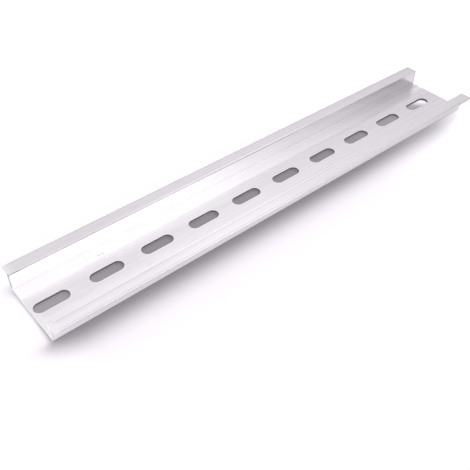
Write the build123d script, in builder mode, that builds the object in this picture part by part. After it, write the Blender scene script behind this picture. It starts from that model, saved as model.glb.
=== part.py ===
from build123d import *
import os

# Slotted top-hat mounting rail, 35 by 7.5 mm, extruded in aluminium and cut to a
# short length. X runs along the rail, Y across it, and Z up from the back face
# that is screwed down. The origin is the middle of the back face.

# Length and section, in mm
rail_length = 203.2
rail_width = 35.0
rail_height = 7.5
channel_width = 27.0
wall = 1.0

# Corners of the section, as the die leaves them
foot_radius = 0.35
root_radius = 0.3
lip_radius = 0.2
hook_radius = 0.25
tip_radius = 0.15

# Fastening slots, punched in one row along the middle of the web
slot_count = 10
slot_pitch = 20.32
slot_length = 12.5
slot_width = 4.4
end_bridge = 0.9
slot_roll = 0.15

# Drilling grooves, two bands of small V grooves along the back face
groove_count = 5
groove_pitch = 0.8
groove_width = 0.5
groove_depth = 0.2
groove_band = 9.2

# Corners of one half of the section, out from the middle
foot = (channel_width / 2, 0)
hook = (channel_width / 2, rail_height - wall)
under_tip = (rail_width / 2, rail_height - wall)
top_tip = (rail_width / 2, rail_height)
lip = (channel_width / 2 - wall, rail_height)
root = (channel_width / 2 - wall, wall)

# The first slot stops one bridge short of a cut end, and the row follows from there
row_length = (slot_count - 1) * slot_pitch + slot_length
row_centre = end_bridge + row_length / 2 - rail_length / 2

os.makedirs("parts", exist_ok=True)

with BuildPart() as rail:
    # Half of the section: out along the back, up the leg, round the flange, and
    # down the inside of the leg to the middle of the channel
    with BuildSketch(Plane.YZ) as half_section:
        with BuildLine():
            Polyline((0, 0), foot, hook, under_tip, top_tip, lip, root, (0, wall), close=True)
        make_face()
        for corner, radius in (
            (foot, foot_radius),
            (hook, hook_radius),
            (under_tip, tip_radius),
            (top_tip, tip_radius),
            (lip, lip_radius),
            (root, root_radius),
        ):
            fillet(half_section.vertices().sort_by_distance(corner)[0], radius)

        # One band of drilling grooves, let into the back of the web
        with Locations((groove_band, 0)):
            with GridLocations(groove_pitch, 0, groove_count, 1):
                Polygon(
                    (-groove_width / 2, 0),
                    (groove_width / 2, 0),
                    (0, groove_depth),
                    mode=Mode.SUBTRACT,
                )

    # The straight run, cut square at both ends, and its other half
    extrude(amount=rail_length / 2, both=True)
    mirror(about=Plane.XZ)

    # The row of slots goes through the web
    with BuildSketch() as slot_row:
        with Locations((row_centre, 0)):
            with GridLocations(slot_pitch, 0, slot_count, 1):
                SlotOverall(slot_length, slot_width)
    extrude(amount=wall, mode=Mode.SUBTRACT)

    # The punch comes from the channel side and rolls the rim of each slot over
    web_face = rail.faces().filter_by(Axis.Z).group_by(Axis.Z)[1][0]
    fillet([edge for rim in web_face.inner_wires() for edge in rim.edges()], slot_roll)

rail.part.label = "rail"
export_step(rail.part, "parts/rail.step")
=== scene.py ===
import bpy
import math
from mathutils import Matrix, Vector

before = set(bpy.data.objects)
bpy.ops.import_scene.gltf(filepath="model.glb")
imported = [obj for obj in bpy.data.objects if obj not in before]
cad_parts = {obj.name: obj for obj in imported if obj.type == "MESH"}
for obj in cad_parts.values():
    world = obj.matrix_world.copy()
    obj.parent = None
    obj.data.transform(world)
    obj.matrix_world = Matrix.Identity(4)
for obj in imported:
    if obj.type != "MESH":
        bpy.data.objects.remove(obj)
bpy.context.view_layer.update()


# ---------------------------------------------------------------- the rail
# One length of top-hat rail, extruded in aluminium, with a row of slots punched
# through its web and both ends sawn off square. It is left as the mill leaves it:
# bright, with fine lines from the die running along it.

# the sizes that the finish goes by, in mm
half_length, half_width, rail_height, web = 101.6, 17.5, 7.5, 1.0
leg_inside, leg_outside = 12.5, 13.5
slot_pitch, slot_row_middle, slot_half_run, slot_radius = 20.32, -3.01, 4.05, 2.2
groove_band, groove_pitch, groove_count, groove_half_width = 9.2, 0.8, 5, 0.25


class Field:
    """A value or colour spread over a finish. Sums on it add Math nodes to the finish."""

    def __init__(self, tree, socket=None):
        self.tree, self.socket = tree, socket

    def made(self, kind, settings=None, sockets=None, out=0):
        """Adds a node of that kind: first its settings, then the values or links of its sockets."""
        node = self.tree.nodes.new(kind)
        for name, value in (settings or {}).items():
            setattr(node, name, value)
        for name, value in (sockets or {}).items():
            if isinstance(value, Field):
                self.tree.links.new(value.socket, node.inputs[name])
            else:
                node.inputs[name].default_value = value
        return Field(self.tree, node.outputs[out] if len(node.outputs) else None)

    def other(self, out):
        """Another output of the same node."""
        return Field(self.tree, self.socket.node.outputs[out])

    def parts(self):
        """The three numbers of a place or a direction."""
        split = self.made("ShaderNodeSeparateXYZ", None, {0: self})
        return split, split.other(1), split.other(2)

    def mixed(self, amount, first, second, way="MIX"):
        """Two colours mixed. On a Mix node they are sockets 6 and 7, and output 2 is their mix."""
        return self.made("ShaderNodeMix", {"data_type": "RGBA", "blend_type": way},
                         {0: amount, 6: first, 7: second}, 2)

    def maths(self, operation, *terms):
        """The value in a Math node, with any other terms behind it."""
        return self.made("ShaderNodeMath", {"operation": operation}, dict(enumerate((self, *terms))))

    def after(self, operation, other):
        """The same with the other term first."""
        return self.made("ShaderNodeMath", {"operation": operation}, {0: other, 1: self})

    def __add__(self, other): return self.maths("ADD", other)
    def __sub__(self, other): return self.maths("SUBTRACT", other)
    def __rsub__(self, other): return self.after("SUBTRACT", other)
    def __mul__(self, other): return self.maths("MULTIPLY", other)
    def __truediv__(self, other): return self.maths("DIVIDE", other)
    def __rtruediv__(self, other): return self.after("DIVIDE", other)
    def __abs__(self): return self.maths("ABSOLUTE")
    __radd__, __rmul__ = __add__, __mul__

    def above(self, edge, soft):
        """1 where the value lies over the edge, 0 under it, blended over the soft width."""
        return self.made("ShaderNodeMapRange", {"interpolation_type": "SMOOTHSTEP"},
                         {"Value": self, "From Min": edge - soft / 2, "From Max": edge + soft / 2})

    def below(self, edge, soft):
        """The reverse: 1 where the value lies under the edge."""
        return 1.0 - self.above(edge, soft)

    def between(self, low, high, soft, high_soft=None):
        """1 between two edges. The second soft width is the high edge's own, if it has one."""
        return self.above(low, soft) * self.below(high, soft if high_soft is None else high_soft)


def bare_tree(owner):
    """The emptied node tree of a material or of the world."""
    owner.use_nodes = True
    owner.node_tree.nodes.clear()
    return Field(owner.node_tree)


def mill_aluminium():
    """The rail's own finish: aluminium as it leaves the die, with the marks of its making and handling, and
    with light and shade painted into its colour by place.
    """
    finish = bpy.data.materials.new("mill_aluminium")
    start = bare_tree(finish)
    place = start.made("ShaderNodeTexCoord", out="Object")
    mm = start.made("ShaderNodeVectorMath", {"operation": "SCALE"}, {0: place, "Scale": 1000.0})
    x, y, z = mm.parts()
    side = abs(y)
    far = y.above(0.0, 1.0)              # the half at +y
    leftward = x.below(5.0, 130.0)       # grows towards the end at -x

    bright = (0.966, 0.943, 0.972, 1.0)
    shade, roughness, height = 0.93, 0.24, 0.0

    def mark(where, lighter=0.0, rougher=0.0, higher=0.0):
        """Adds one mark, a real one or painted light or shade: how much lighter, rougher and higher the metal
        is where it lies.
        """
        nonlocal shade, roughness, height
        if lighter:
            shade = shade + where * lighter
        if rougher:
            roughness = roughness + where * rougher
        if higher:
            height = height + where * higher

    def noise(vector, detail, rough=0.5):
        """Blender's even noise, around a half, on that vector."""
        return start.made("ShaderNodeTexNoise", {"noise_dimensions": "3D"},
                          {"Vector": vector, "Scale": 1.0, "Detail": detail, "Roughness": rough})

    def grain(along, across, detail=2.0, rough=0.5, shift=0.0):
        """Noise drawn out along the rail: its marks are about that long and that wide, in mm."""
        drawn_out = start.made("ShaderNodeVectorMath", {"operation": "MULTIPLY_ADD"},
                               {0: mm, 1: (1 / along, 1 / across, 1 / across),
                                2: (shift, shift * 1.7, shift * 0.6)})
        return noise(drawn_out, detail, rough)

    # die lines: fine ones close together, broad soft bands, a mottle and a few scuffs
    fine = grain(70.0, 0.22, 3.0, 0.6)
    broad = grain(160.0, 1.7, 2.0, 0.55, 31.0)
    mottle = grain(9.0, 3.0, 3.0, 0.6, 57.0)
    scuff = (grain(5.0, 0.35, 1.0, 0.5, 83.0).above(0.71, 0.05)
             * grain(30.0, 9.0, 1.0, 0.5, 12.0).above(0.5, 0.15))
    mark(fine - 0.5, lighter=0.10, rougher=0.10, higher=0.6)
    mark(broad - 0.5, lighter=0.16, higher=0.4)
    mark(mottle - 0.5, lighter=0.05, rougher=0.06)
    mark(scuff, lighter=-0.10, rougher=0.12)

    # the saw cuts the ends, and leaves arcs of a wide blade on them, a little different at each
    # end. The sawn faces are a little lighter, partly as fresh metal and partly as a painted
    # reflection; the end of the leg at +y is painted darker, a painted shade
    blade_beside, blade_below = 60.0, 95.0
    cut = abs(x).above(half_length - 0.05, 0.06)
    uncut = 1.0 - cut
    over, up = y + blade_beside, z + blade_below
    stroke = (over * over + up * up).maths("SQRT") + x * 0.3
    arcs = start.made("ShaderNodeTexNoise", {"noise_dimensions": "1D"},
                      {"W": stroke, "Scale": 4.2, "Detail": 2.5, "Roughness": 0.65})
    mark(cut, lighter=0.05, rougher=0.20)
    mark((arcs - 0.5) * cut, lighter=0.35, rougher=0.30, higher=5.0)
    mark(cut * far * side.below(leg_outside + 0.1, 0.1) * z.above(1.2, 0.4), lighter=-0.75)

    # the punch cuts the slots and shears their walls, smooth at first and tearing over the lowest
    # 0.4 mm. Their rims, which it rolls in, are painted lighter, a painted highlight; the walls are
    # painted darker, a painted shade, less so where the punch tears them
    turn = (x - slot_row_middle) / slot_pitch
    beside = abs(turn - turn.maths("FLOOR") - 0.5) * slot_pitch
    run = (beside - slot_half_run).maths("MAXIMUM", 0.0)
    from_slot = (run * run + y * y).maths("SQRT") - slot_radius
    in_web = z.below(web + 0.05, 0.04)
    wall = from_slot.below(0.09, 0.06) * in_web * uncut
    rim_highlight = from_slot.below(0.40, 0.3) * in_web * z.above(web - 0.16, 0.04) * (1.0 - wall)
    torn_less_shaded = wall * z.below(0.40, 0.12)
    close_set = start.made("ShaderNodeVectorMath", {"operation": "MULTIPLY"}, {0: mm, 1: (7.0, 7.0, 1.3)})
    tear = noise(close_set, 2.0)
    mark(rim_highlight, lighter=0.07)
    mark(wall, lighter=-0.62, rougher=0.12)
    mark(torn_less_shaded, lighter=0.44, rougher=0.10)
    mark((tear - 0.5) * torn_less_shaded, lighter=0.30)
    mark(tear * torn_less_shaded, higher=2.5)

    # the drilling grooves along the back: five V cuts beside each other on either side. They are
    # painted darker towards their bottoms, a painted shade, and are rougher there
    row = (side - groove_band) / groove_pitch
    off_middle = abs(row - row.maths("ROUND")) * groove_pitch
    groove = (off_middle.below(groove_half_width, 0.08)
              * abs(side - groove_band).below(groove_count / 2 * groove_pitch, 0.05)
              * z.below(0.5, 0.2) * uncut)
    depth = groove * (1.0 - off_middle / groove_half_width).maths("MAXIMUM", 0.0)
    mark(depth, lighter=-0.22, rougher=0.15)

    # the fillet at the foot of each leg, painted darker towards the end at +x (painted shade), and
    # the rounded lip at its top, painted lighter (a painted highlight); on the leg at +y the lip is
    # rougher and painted darker towards both ends (painted shade), and has a dark line under it there
    root = (side.between(leg_inside - 0.35, leg_inside + 0.25, 0.2)
            * z.between(web + 0.02, web + 0.4, 0.04, 0.2))
    lip = side.between(leg_inside - 0.05, leg_inside + 0.3, 0.06, 0.16) * z.above(rail_height - 0.3, 0.1)
    dull_shaded_lip = lip * far * (1.0 - x.between(-50.0, 30.0, 20.0, 30.0))
    under_lip = (far * side.between(leg_inside - 0.1, leg_inside + 0.12, 0.05, 0.06)
                 * z.between(rail_height - 0.48, rail_height - 0.05, 0.1, 0.06))
    mark(root * (1.0 - leftward), lighter=-0.16)
    mark(lip, lighter=0.07, rougher=-0.04)
    mark(dull_shaded_lip, lighter=-0.10, rougher=0.10)
    mark(under_lip * x.below(25.0, 50.0), lighter=-0.44)
    mark(under_lip * x.below(-97.0, 5.0), lighter=-0.20)

    # the inside of the leg at +y is rougher over its middle stretch, and painted darker towards the
    # end at +x, a painted shade
    far_leg = (far * side.below(leg_inside + 0.12, 0.06)
               * z.between(web + 0.4, rail_height - 0.4, 0.4, 0.3))
    mark(far_leg * x.between(-20.0, 62.0, 50.0, 40.0), rougher=0.10)
    mark(far_leg * x.above(60.0, 30.0), lighter=-0.05)

    # the flat tops of the flanges are painted a little lighter over the leg, a painted highlight, and
    # darker beside it, and darker before the tip, a painted shade; one stretch of the flange at -y
    # is painted lighter, a painted sheen
    on_top = z.above(rail_height - 0.1, 0.05)
    over_leg = side.between(leg_inside - 0.2, leg_outside - 0.25, 0.1, 0.25) * on_top
    beside_leg = side.between(leg_outside - 0.15, leg_outside + 0.3, 0.2) * on_top * (1.0 - far)
    mark(over_leg, lighter=0.03)
    mark(over_leg * leftward, lighter=0.05)
    mark(over_leg * leftward * far, lighter=-0.02)
    mark(beside_leg, lighter=-0.03)
    mark(beside_leg * leftward, lighter=-0.10)
    mark(side.between(half_width - 0.9, half_width - 0.35, 0.2) * on_top, lighter=-0.08)
    mark((1.0 - far) * z.above(rail_height - 0.2, 0.2) * x.between(-55.0, -8.0, 20.0), lighter=0.05)

    # the rounded tips of the flanges, painted with their reflections: bands along them lighter or
    # darker, changing along the rail, most of all a dark band near the top of the rounding,
    # deepest towards the end at -x
    tip = side.above(half_width - 0.17, 0.06)
    low_tip = tip * z.below(rail_height - 0.75, 0.25)
    high_tip = tip * z.between(rail_height - 0.42, rail_height - 0.1, 0.1, 0.06)
    mark(tip, lighter=0.02)
    mark(tip * x.above(65.0, 60.0), lighter=-0.09)
    mark(low_tip, lighter=-0.04)
    mark(low_tip * x.above(0.0, 60.0), lighter=0.07)
    mark(high_tip, lighter=-0.12)
    mark(high_tip * x.below(-35.0, 30.0), lighter=-0.24)

    # the web is painted brighter in a band beside the leg at +y, a painted reflection, and is rougher
    # there except over its middle. Along its middle stretch the shade passes 1, where the renderer
    # cuts it off. Two stretches of the web, at +y and at -y, are painted lighter towards the end at
    # -x, painted light too
    by_far_leg = leg_inside - 0.2
    band = y.between(7.4, by_far_leg, 3.0, 0.2) * in_web * z.above(0.5, 0.2)
    mark(band, lighter=0.11, rougher=0.08)
    mark(band * x.between(-45.0, 65.0, 60.0, 45.0), lighter=0.12)
    mark(band * x.between(-35.0, 25.0, 40.0, 60.0), rougher=-0.08)
    mark(y.between(9.0, by_far_leg, 3.0, 0.2) * in_web * x.between(-30.0, 65.0, 30.0, 40.0), lighter=0.07)
    mark(y.between(2.2, 6.4, 2.5, 2.0) * in_web * (1.0 - wall) * x.below(-10.0, 40.0), lighter=0.075)
    mark(y.below(-4.5, 2.0) * z.above(0.5, 0.2) * leftward, lighter=0.03)

    # the metal is painted lighter towards the end at -x, most of all on the flange at +y, whose last
    # millimetre is also rougher: painted light
    far_top = far * z.above(rail_height - 0.5, 0.5)
    by_end = x.below(-84.0, 30.0) * uncut
    last_mm = x.below(-100.4, 1.2) * uncut
    mark(by_end, lighter=0.05)
    mark(by_end * far_top, lighter=0.035)
    mark(x.below(-99.6, 3.0), lighter=0.08)
    mark(last_mm, lighter=0.10)
    mark(last_mm * far_top, lighter=0.12, rougher=0.30)

    # handling: a few crossing hair scratches, most of them on the back that slides on things
    def scratches(turned, apart, shift):
        """Thin straight scratches, turned that many degrees from the rail's length, about
        that far apart."""
        c, t = math.cos(math.radians(turned)), math.sin(math.radians(turned))
        along, across = x * c + y * t, y * c - x * t
        spread = start.made("ShaderNodeCombineXYZ", None,
                            {0: along / 26.0, 1: across / apart + shift, 2: z / 8.0})
        return abs(noise(spread, 0.0) - 0.5).below(0.006, 0.008)

    on_back = z.below(0.15, 0.1) * uncut
    hair = (scratches(17.0, 2.6, 5.0) + scratches(-31.0, 3.4, 40.0)) * (0.25 + 0.75 * on_back) * uncut
    mark(hair, lighter=0.07, rougher=-0.06, higher=-0.6)

    # marks that this piece has on its web: a broken pick-up line, three light drawn lines,
    # and a dull spot by the end at +x
    def drawn(from_x, to_x, at, wide):
        """A straight mark along the rail on the face of the web."""
        return (x.between(from_x, to_x, 3.0) * abs(y - at).below(wide / 2, wide * 0.7)
                * in_web * z.above(0.9, 0.1))

    light_lines = (drawn(-82.0, -8.0, -4.2, 0.9) + drawn(-90.0, 18.0, -6.0, 0.30)
                   + 2.0 * drawn(-98.0, -2.0, -7.2, 1.2))
    pick_up = drawn(-83.0, -66.0, 8.1, 0.36) * grain(1.6, 0.9, 1.0, 0.5, 7.0).above(0.57, 0.10)
    spot = drawn(97.5, 102.0, 10.4, 1.6) * grain(1.2, 0.9, 1.0, 0.5, 19.0).above(0.48, 0.1)
    mark(pick_up, lighter=-0.70)
    mark(light_lines, lighter=0.035)
    mark(spot, lighter=-0.35, rougher=0.20)

    # the edges that stand out have small nicks
    edges = (tip + side.between(leg_outside - 0.3, leg_outside + 0.1, 0.2, 0.1) * z.below(0.45, 0.3)
             + side.between(leg_inside - 0.05, leg_inside + 0.2, 0.06, 0.1) * z.above(rail_height - 0.3, 0.1))
    mark(edges * grain(0.9, 0.7, 2.0, 0.6, 29.0).above(0.66, 0.05), lighter=-0.12, higher=-3.0)

    relief = start.made("ShaderNodeBump", None, {"Strength": 0.20, "Distance": 0.00002, "Height": height})
    skin = start.made("ShaderNodeBsdfPrincipled", None,
                      {"Base Color": start.mixed(1.0, bright, shade, "MULTIPLY"), "Metallic": 1.0,
                       "Roughness": roughness, "Normal": relief})
    start.made("ShaderNodeOutputMaterial", None, {"Surface": skin})
    return finish


rail_finish = mill_aluminium()
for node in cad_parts.values():
    for i in range(len(node.material_slots)):
        node.material_slots[i].material = rail_finish


# ---------------------------------------------------------------- the sheet
# The rail lies on its back on a sheet of white paper, six metres square, so that
# the sheet has no edge in the picture. It isn't part of the rail. Under the rail it is painted
# dark, a painted shadow, and it glows a little by place, painted light.

def white_sheet():
    """A flat square just under the rail's back. Besides what falls on it, it gives off a little
    light, by place, and another amount to the metal that mirrors it. All in metres."""
    reach, level = 3.0, -0.00005
    corners = [(-reach, -reach, level), (reach, -reach, level), (reach, reach, level), (-reach, reach, level)]
    white, in_shadow, black = (0.98, 0.93, 0.99, 1.0), (0.17, 0.150, 0.175, 1.0), (0.0, 0.0, 0.0, 1.0)
    sheet = bpy.data.meshes.new("sheet")
    sheet.from_pydata(corners, [], [(0, 1, 2, 3)])
    paper = bpy.data.materials.new("white_paper")
    start = bare_tree(paper)
    x, y, _ = start.made("ShaderNodeTexCoord", out="Object").parts()
    light = start.made("ShaderNodeLightPath")
    seen, mirrored, through = (light.other(name) for name in
                               ("Is Camera Ray", "Is Glossy Ray", "Is Transmission Ray"))
    first = light.other("Diffuse Depth").below(0.5, 0.1)

    # under the rail, where it shows through the slots, it glows a little on its painted shadow,
    # painted light: more towards both ends, and most under the far half of the last slot
    under = abs(x).below(0.1012, 0.0006) * abs(y).below(0.0126, 0.0004)
    through_slots = (0.076 + 0.078 * abs(x + 0.012).above(0.065, 0.05)
                     + 0.03 * x.above(0.080, 0.004) + 0.62 * (x + y).above(0.091, 0.008))

    # beside the rail it glows a little more, painted light that thins the rail's shadow towards the
    # right end, beside the left end and its near corner, and under the right end of the near flange.
    # The left end also mirrors a strip in front of it that glows more to the metal, a painted reflection
    thinner = (0.24 * x.above(0.07, 0.10)
               + 0.20 * x.between(-0.108, -0.099, 0.010, 0.006) * y.above(-0.006, 0.02)
               + 0.16 * x.below(-0.098, 0.012) * y.between(-0.045, -0.016, 0.03, 0.005)
               + 0.27 * x.above(0.086, 0.02) * y.between(-0.0225, -0.0135, 0.006, 0.001))
    by_end = x.between(-0.112, -0.1, 0.006, 0.004) * abs(y - 0.006).below(0.019, 0.002)
    to_eye = 0.07 + through_slots * under + thinner * (1.0 - under)
    to_metal = 0.72 + 0.26 * by_end - 0.44 * under

    # the sheet's colour: white, and painted dark under the rail, a painted shadow; the metal mirrors little of
    # it
    tone = start.mixed(mirrored * 0.85, start.mixed(under, white, in_shadow), black)
    dull = start.made("ShaderNodeBsdfDiffuse", None, {"Color": tone})
    glow = start.made("ShaderNodeEmission", None,
                      {"Color": (1.0, 0.96, 1.02, 1.0),
                       "Strength": (seen + through) * to_eye + mirrored * first * to_metal})
    both = start.made("ShaderNodeAddShader", None, {0: dull, 1: glow})

    # it is clear from below, and to the light that the rail's back mirrors from close by
    behind = start.made("ShaderNodeNewGeometry", out="Backfacing")
    close = light.other("Ray Length").below(0.00015, 0.00004) * mirrored * under
    clear = start.made("ShaderNodeBsdfTransparent")
    seen_through = start.made("ShaderNodeMixShader", None,
                              {0: behind.maths("MAXIMUM", close), 1: both, 2: clear})
    start.made("ShaderNodeOutputMaterial", None, {"Surface": seen_through})
    sheet.materials.append(paper)
    obj = bpy.data.objects.new("white_sheet", sheet)
    bpy.context.scene.collection.objects.link(obj)


white_sheet()


# ---------------------------------------------------------------- the light
# Soft studio light, the same from below as from above, so that the rail's back shows too.
# The sheet has a light of its own, because the metal shows only what it mirrors. What the
# camera sees past the sheet is plain white.

def studio_light():
    """Each lamp fades from its middle as its strength times e to the power of its sharpness
    times (the cosine of the angle from it, less 1)."""
    world = bpy.data.worlds.new("studio")
    bpy.context.scene.world = world
    start = bare_tree(world)
    to_x, to_y, to_z = start.made("ShaderNodeTexCoord", out="Generated").parts()
    height = abs(to_z)
    way = start.made("ShaderNodeCombineXYZ", None, {0: to_x, 1: to_y, 2: height})

    def lamp(turned, raised, sharpness, strength):
        """Its middle is turned that many degrees from +x towards +y, and raised from level."""
        turned, raised = math.radians(turned), math.radians(raised)
        flat = math.cos(raised)
        middle = (math.cos(turned) * flat, math.sin(turned) * flat, math.sin(raised))
        cosine = start.made("ShaderNodeVectorMath", {"operation": "DOT_PRODUCT"}, {0: way, 1: middle}, "Value")
        return ((cosine - 1.0) * sharpness).maths("EXPONENT") * strength

    # the wide lamp is shaded straight overhead, and the soft box ends well above the sheet
    wide_lamp = lamp(11.7, 71.1, 9.2, 1.87) * (1.0 - 0.8 * height.above(0.86, 0.14))
    soft_box = lamp(-67.5, 30.1, 35.0, 2.09) * height.above(0.38, 0.12)
    small_lamp = lamp(-44.0, 36.0, 45.0, 0.10)
    dark_card = lamp(-26.2, 21.0, 21.5, -0.62)
    white_wall = lamp(62.0, 4.0, 28.0, 1.3)
    room, room_on_sheet = 0.51, 0.37
    in_metal = wide_lamp + soft_box + dark_card + white_wall + small_lamp + room
    on_sheet = lamp(24.0, 42.0, 7.0, 3.95) + room_on_sheet

    light = start.made("ShaderNodeLightPath")
    glossy, dull = light.other("Is Glossy Ray"), light.other("Is Diffuse Ray")
    # light that the metal throws back on the sheet is held down
    held_down = light.other("Diffuse Depth").below(0.5, 0.1) * 0.8 + 0.2
    strength = glossy * held_down * in_metal.maths("MAXIMUM", 0.0) + dull * on_sheet + (1.0 - glossy - dull)
    hue = start.mixed(glossy, (1.0, 1.0, 1.0, 1.0), (1.025, 1.0, 1.03, 1.0))
    ground = start.made("ShaderNodeBackground", None, {"Color": hue, "Strength": strength})
    start.made("ShaderNodeOutputWorld", None, {"Surface": ground})


studio_light()


# ---------------------------------------------------------------- the camera
# It looks down on the rail from the front left, from close by, as the photograph does.

scene = bpy.context.scene
scene.view_settings.view_transform = "Standard"

azimuth, elevation, roll = -0.7152, 0.7568, 0.01835           # radians
distance, aim = 0.22866, Vector((-0.02953, -0.01269, 0.0))    # metres
focal_length, picture_width = 647.298, 470.0                  # pixels
film_width = 36.0                                             # mm

flat = math.cos(elevation)
back = Vector((math.sin(azimuth) * flat, -math.cos(azimuth) * flat, math.sin(elevation)))
right = Vector((math.cos(azimuth), math.sin(azimuth), 0.0))
up = back.cross(right)
right, up = right * math.cos(roll) + up * math.sin(roll), up * math.cos(roll) - right * math.sin(roll)
lens = bpy.data.cameras.new("camera")
lens.sensor_fit, lens.sensor_width = "HORIZONTAL", film_width
lens.lens = film_width * focal_length / picture_width
lens.clip_start, lens.clip_end = 0.01, 20.0
camera = bpy.data.objects.new("camera", lens)
scene.collection.objects.link(camera)
turned = Matrix((right, up, back)).transposed().to_4x4()
camera.matrix_world = Matrix.Translation(aim + back * distance) @ turned
scene.camera = camera
